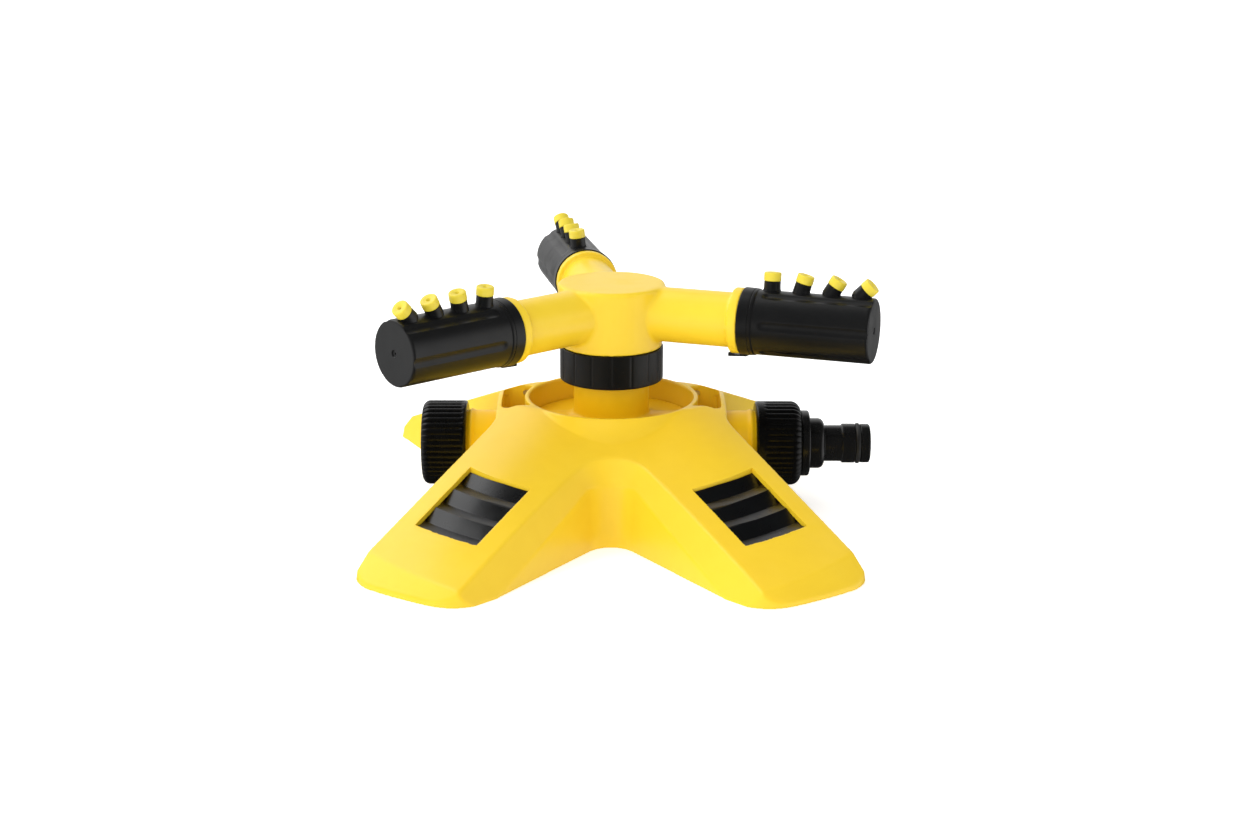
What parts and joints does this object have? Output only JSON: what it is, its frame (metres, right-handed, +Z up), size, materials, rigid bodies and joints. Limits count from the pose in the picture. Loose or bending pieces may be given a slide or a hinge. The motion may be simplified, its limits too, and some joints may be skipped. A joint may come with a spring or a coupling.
{
  "type": "rotating lawn sprinkler",
  "caption": "Garden sprinkler: a rotor with nozzle tubes on three arms turns on a stem in a low four-legged stand; water enters by a hose nipple on a cross pipe.",
  "frame": {"origin": "on the ground, under the axis that the rotor turns about", "axes": "+Z up along the rotor's axis; +X along the cross pipe towards the hose nipple; +Y towards the back pair of legs"},
  "size_m": [0.1996, 0.241, 0.1015],
  "materials": {
    "stand_plastic": "soft gloss moulded, warm yellow",
    "grip_plastic": "satin black, ribbed",
    "body_plastic": "soft gloss moulded, warm yellow",
    "rotor_plastic": "soft gloss moulded, warm yellow",
    "collar_plastic": "satin black with fine grooves",
    "seal_rubber": "black moulded rubber",
    "washer_plastic": "off-white low-friction plastic",
    "screw_steel": "bright plated",
    "tube_plastic": "soft gloss black",
    "tip_plastic": "soft gloss lemon yellow",
    "cap_plastic": "gloss black, ribbed",
    "connector_plastic": "gloss black"
  },
  "bodies": {
    "stand": {"base_shell": "stand_plastic", "grip_insert_front_left": "grip_plastic", "grip_insert_front_right": "grip_plastic", "grip_insert_back_left": "grip_plastic", "grip_insert_back_right": "grip_plastic", "water_body": "body_plastic", "stem_seal_ring": "seal_rubber", "body_screws": "screw_steel"},
    "rotor": {"rotor_hub": "rotor_plastic", "retaining_collar": "collar_plastic", "lower_thrust_washer": "washer_plastic", "upper_thrust_washer": "washer_plastic", "right_arm_seal_ring": "seal_rubber", "back_arm_seal_ring": "seal_rubber", "left_arm_seal_ring": "seal_rubber"},
    "cap_seal": {"end_cap_washer": "seal_rubber"},
    "cap": {"end_cap": "cap_plastic"},
    "inlet": {"inlet_connector": "connector_plastic", "connector_seal_ring": "seal_rubber", "inlet_washer": "seal_rubber"},
    "nut": {"inlet_nut": "cap_plastic"},
    "right_tube": {"right_spray_tube": "tube_plastic", "right_nozzle_tip_1": "tip_plastic", "right_nozzle_tip_2": "tip_plastic", "right_nozzle_tip_3": "tip_plastic", "right_nozzle_tip_4": "tip_plastic"},
    "back_tube": {"back_spray_tube": "tube_plastic", "back_nozzle_tip_1": "tip_plastic", "back_nozzle_tip_2": "tip_plastic", "back_nozzle_tip_3": "tip_plastic", "back_nozzle_tip_4": "tip_plastic"},
    "left_tube": {"left_spray_tube": "tube_plastic", "left_nozzle_tip_1": "tip_plastic", "left_nozzle_tip_2": "tip_plastic", "left_nozzle_tip_3": "tip_plastic", "left_nozzle_tip_4": "tip_plastic"}
  },
  "joints": [
    {"name": "rotor_spin", "type": "hinge", "parent": "stand", "child": "rotor", "pos_m": [0, 0, 0.081], "axis": [0, 0, 1], "continuous": true},
    {"name": "right_tube_twist", "type": "hinge", "parent": "rotor", "child": "right_tube", "pos_m": [0.07579, -0.02561, 0.081], "axis": [0.9474, -0.3201, 0], "range_deg": [-60, 60]},
    {"name": "back_tube_twist", "type": "hinge", "parent": "rotor", "child": "back_tube", "pos_m": [-0.01572, 0.07844, 0.081], "axis": [-0.1965, 0.9805, 0], "range_deg": [-60, 60]},
    {"name": "left_tube_twist", "type": "hinge", "parent": "rotor", "child": "left_tube", "pos_m": [-0.06007, -0.05283, 0.081], "axis": [-0.7509, -0.6604, 0], "range_deg": [-60, 60]},
    {"name": "cap_travel", "type": "slide", "parent": "stand", "child": "cap_seal", "axis": [-1, 0, 0], "range_m": [0, 0.01]},
    {"name": "cap_screw", "type": "hinge", "parent": "cap_seal", "child": "cap", "pos_m": [-0.068, 0, 0.0255], "axis": [-1, 0, 0], "range_deg": [0, 1980]},
    {"name": "inlet_travel", "type": "slide", "parent": "stand", "child": "inlet", "axis": [1, 0, 0], "range_m": [0, 0.01]},
    {"name": "nut_screw", "type": "hinge", "parent": "inlet", "child": "nut", "pos_m": [0.068, 0, 0.0255], "axis": [1, 0, 0], "range_deg": [0, 1980]}
  ],
  "couplings": [
    {"joint": "cap_travel", "follows": "cap_screw", "m_per_rad": 0.00028871},
    {"joint": "inlet_travel", "follows": "nut_screw", "m_per_rad": 0.00028871}
  ]
}
